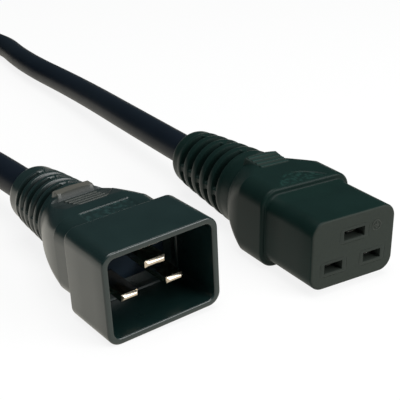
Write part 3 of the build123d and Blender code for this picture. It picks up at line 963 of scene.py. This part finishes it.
class CORD_OT_housings(bpy.types.Operator):
    """Build the two moulded housings"""

    bl_idname = "cord.housings"
    bl_label = "Housings"

    def execute(self, context):
        colour = tuple(context.scene.cord_colours.housing)
        face = tuple(context.scene.cord_colours.face)
        cooler = (colour[0] * 0.8, colour[1] * 0.9, colour[2], 1.0)
        # The pad and bar colours are painted highlights: lighter tones of the vinyl for the lit thumb
        # rests.
        pad, bar = (0.02, 0.031, 0.027, 1.0), (0.085, 0.08, 0.066, 1.0)
        dull_and_painted_shade = housing_vinyl("connector_vinyl", colour, pad, 0.4, 0.00001, 0.11, (face, CONNECTOR.face.x))
        glossy = housing_vinyl("plug_vinyl", cooler, bar, 0.3, 0.000003, 0.6)
        finished(connector_shell(), "housing_pvc", dull_and_painted_shade, "connector_housing")
        finished(plug_shell(), "housing_pvc", glossy, "plug_housing")
        return {"FINISHED"}


class CORD_OT_grips(bpy.types.Operator):
    """Add the ridges of both thumb grips"""

    bl_idname = "cord.grips"
    bl_label = "Grip ridges"

    def execute(self, context):
        colour = tuple(context.scene.cord_colours.housing)
        # Painted highlights: both ridge finishes are lighter tones of the housing vinyl, for light caught
        # on the ridges.
        pad_highlight_vinyl = moulded_vinyl("pad_highlight_vinyl", lighter(colour, 1.7), 0.5, 0.00001, 0.2)
        scoop_highlight_vinyl = moulded_vinyl("scoop_highlight_vinyl", (0.034, 0.039, 0.034, 1.0), 0.44, 0.00001, 0.4)
        count = context.scene.cord_sizes.ridge_count
        # A ridge lies along its own X: across the end, its Y along the end and its Z up
        for name, end, vinyl, first, pitch, fall, length, width, height in (
            ("connector_grip_ridges", CONNECTOR, pad_highlight_vinyl, (35.3, 11.62), 2.0, -0.079, 9.6, 0.55, 0.24),
            ("plug_grip_ridges", PLUG, scoop_highlight_vinyl, (31.6, 10.08), 2.2, 0.236, 9.6, 0.5, 0.36),
        ):
            axes = Matrix((end.right, -end.out, end.upward)).transposed().to_4x4()
            start = end.point(first[0], 0, first[1])
            step = (0.0, pitch * MM, -pitch * fall * MM)
            ridges = ridge_rows(name, count, length, width, height, start, step, axes, vinyl)
            finished(ridges, "housing_pvc", vinyl)
        return {"FINISHED"}


class CORD_OT_marks(bpy.types.Operator):
    """Add the raised earth symbol beside the earth slot"""

    bl_idname = "cord.marks"
    bl_label = "Earth symbol"

    def execute(self, context):
        end = CONNECTOR
        middle, ring_r, line, rise = (7.4, 4.6), 1.5, 0.18, 0.12
        shape = bmesh.new()
        self.add_ring(shape, end, middle, ring_r, line, rise)
        bars = [((0.0, 0.6), (0.09, 0.42))] + [
            ((0.0, 0.1 - 0.42 * row), (0.9 - 0.28 * row, 0.09)) for row in range(3)
        ]
        for (across, up), (half_w, half_h) in bars:
            self.add_bar(shape, end, (middle[0] + across, middle[1] + up), half_w, half_h, rise)
        mark = closed_object(shape, "earth_symbol", 30.0)
        vinyl = moulded_vinyl("mark_vinyl", tuple(context.scene.cord_colours.face), 0.4, 0.00001)
        finished(mark, "housing_pvc", vinyl)
        return {"FINISHED"}

    def add_ring(self, shape, end, middle, radius, line, rise):
        """Raised ring with a flat top."""
        profile = ((radius, -0.05), (radius, rise), (radius - line, rise), (radius - line, -0.05))
        loops = [
            ring_of_points(shape, end, -lift, (distance, distance, distance), middle, 40)
            for distance, lift in profile
        ]
        join_rings(shape, loops + loops[:1])

    def add_bar(self, shape, end, middle, half_w, half_h, rise):
        """Raised bar with square ends."""
        corners = [(-half_w, -half_h), (half_w, -half_h), (half_w, half_h), (-half_w, half_h)]
        low, high = (
            [shape.verts.new(end.point(-lift, middle[0] + x, middle[1] + y)) for x, y in corners]
            for lift in (-0.05, rise)
        )
        shape.faces.new(low)
        shape.faces.new(high)
        join_rings(shape, [low, high])


class CORD_OT_hard_parts(bpy.types.Operator):
    """Dress the hard insert and carrier"""

    bl_idname = "cord.hard_parts"
    bl_label = "Insert and carrier"

    def execute(self, context):
        grey = hard_nylon("insert_nylon", (0.022, 0.027, 0.023, 1), 0.58, 0.11)
        black = hard_nylon("carrier_nylon", (0.009, 0.016, 0.025, 1), 0.45, 0.08)
        insert = softened_copy("connector_insert", "insert_body", 0.12)
        carrier = softened_copy("plug_carrier", "carrier_body", 0.1)
        finished(insert, "insert_nylon", grey, "connector_insert")
        finished(carrier, "carrier_nylon", black, "plug_carrier")
        return {"FINISHED"}


class CORD_OT_metal(bpy.types.Operator):
    """Dress the blades and the contacts"""

    bl_idname = "cord.metal"
    bl_label = "Blades and contacts"

    def execute(self, context):
        colour = tuple(context.scene.cord_colours.blade)
        nickel = plated_metal("blade_nickel", colour, lighter(colour, 0.85), 0.16, (0.06, 1, 1))
        tin = plated_metal("contact_tin", (0.68, 0.67, 0.64, 1), (0.5, 0.48, 0.44, 1), 0.36, (0.06, 1, 1))
        for pole in ("line", "neutral", "earth"):
            blade = f"plug_blade_{pole}"
            finished(softened_copy(blade, blade + "_plated", 0.15), "blade_nickel", nickel, blade)
            contact = f"connector_contact_{pole}"
            finished(softened_copy(contact, contact + "_plated", 0.05), "contact_tin", tin, contact)
        return {"FINISHED"}


class CORD_OT_inner(bpy.types.Operator):
    """Dress the cores, conductors and inner mouldings, which the housings hide"""

    bl_idname = "cord.inner"
    bl_label = "Inner pieces"

    def execute(self, context):
        copper = plain_finish("copper_strand", (0.72, 0.38, 0.22, 1), 0.3, 1.0)
        milky = plain_finish("inner_mould", (0.55, 0.55, 0.5, 1), 0.4)
        cores = {
            "line": plain_finish("core_black", (0.02, 0.02, 0.02, 1), 0.4),
            "neutral": plain_finish("core_white", (0.7, 0.7, 0.67, 1), 0.4),
            "earth": plain_finish("core_green", (0.03, 0.25, 0.06, 1), 0.4),
        }
        for end in ("connector", "plug"):
            self.paint(f"{end}_inner_mould", milky)
            for pole, insulation in cores.items():
                self.paint(f"{end}_core_{pole}", insulation)
                self.paint(f"{end}_wire_{pole}", copper)
        return {"FINISHED"}

    def paint(self, node, material):
        """Give a carried-over solid its finish."""
        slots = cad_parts[node].data.materials
        slots.clear()
        slots.append(material)


class CORD_PT_panel(bpy.types.Panel):
    """Sidebar panel that lists the cord's steps"""

    bl_idname = "CORD_PT_panel"
    bl_label = "Power Cord"
    bl_space_type = "VIEW_3D"
    bl_region_type = "UI"
    bl_category = "Power Cord"

    def draw(self, context):
        for group in (context.scene.cord_sizes, context.scene.cord_colours):
            for name in group.__annotations__:
                self.layout.prop(group, name)
        for step in STEPS:
            self.layout.operator(step.bl_idname)


STEPS = (
    CORD_OT_stage, CORD_OT_cable, CORD_OT_housings, CORD_OT_grips, CORD_OT_marks,
    CORD_OT_hard_parts, CORD_OT_metal, CORD_OT_inner,
)
CLASSES = (CordSizes, CordColours, *STEPS, CORD_PT_panel)


def register():
    for item in CLASSES:
        bpy.utils.register_class(item)
    bpy.types.Scene.cord_sizes = bpy.props.PointerProperty(type=CordSizes)
    bpy.types.Scene.cord_colours = bpy.props.PointerProperty(type=CordColours)


def unregister():
    del bpy.types.Scene.cord_colours
    del bpy.types.Scene.cord_sizes
    for item in reversed(CLASSES):
        bpy.utils.unregister_class(item)


def main():
    """Run every step in order."""
    register()
    bpy.ops.cord.stage()
    bpy.ops.cord.cable()
    bpy.ops.cord.housings()
    bpy.ops.cord.grips()
    bpy.ops.cord.marks()
    bpy.ops.cord.hard_parts()
    bpy.ops.cord.metal()
    bpy.ops.cord.inner()


if __name__ == "__main__":
    main()
